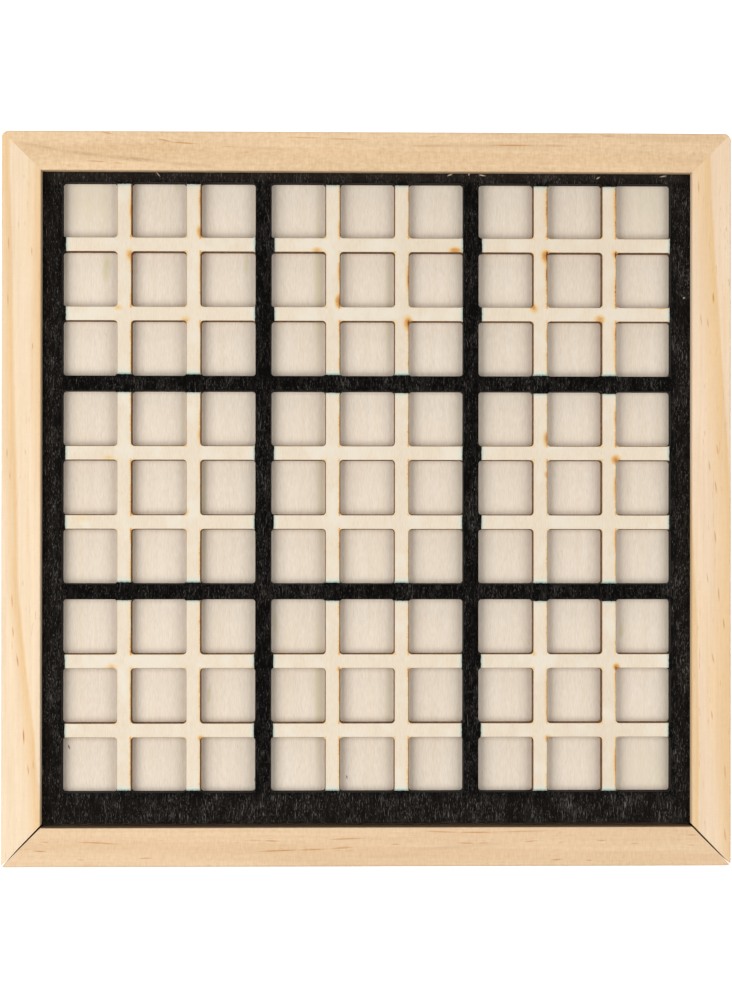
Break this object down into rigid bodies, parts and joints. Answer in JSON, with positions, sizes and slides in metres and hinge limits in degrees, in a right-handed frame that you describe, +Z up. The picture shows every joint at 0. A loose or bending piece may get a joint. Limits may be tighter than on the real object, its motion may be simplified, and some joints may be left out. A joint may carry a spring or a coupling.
{
  "type": "sudoku board",
  "caption": "Wooden sudoku board: mitred pine frame, black sheet with laser-cut square cells, and a drawer under the playing surface for the number tiles.",
  "frame": {"origin": "middle of the underside, on the table", "axes": "+Z up out of the playing surface, -Y the way the drawer opens, +X to the player's right"},
  "size_m": [0.2252, 0.2266, 0.032],
  "materials": {
    "pine": "sanded bare pine",
    "plywood": "bare laser-cut plywood",
    "black_plywood": "plywood with matt black paint, bare between the cells of each block",
    "tile_wood": "bare plywood with black numbers"
  },
  "bodies": {
    "case": {"back_rail": "pine", "left_rail": "pine", "right_rail": "pine", "grid_panel": "black_plywood", "base_panel": "plywood", "bottom_panel": "plywood"},
    "drawer": {"drawer_front": "pine", "drawer_left_side": "pine", "drawer_right_side": "pine", "drawer_back": "pine", "drawer_floor": "plywood", "number_tiles_1": "tile_wood", "number_tiles_2": "tile_wood", "number_tiles_3": "tile_wood", "number_tiles_4": "tile_wood", "number_tiles_5": "tile_wood", "number_tiles_6": "tile_wood", "number_tiles_7": "tile_wood", "number_tiles_8": "tile_wood", "number_tiles_9": "tile_wood"}
  },
  "joints": [
    {"name": "drawer_slide", "type": "slide", "parent": "case", "child": "drawer", "axis": [0, -1, 0], "range_m": [0, 0.16]}
  ]
}
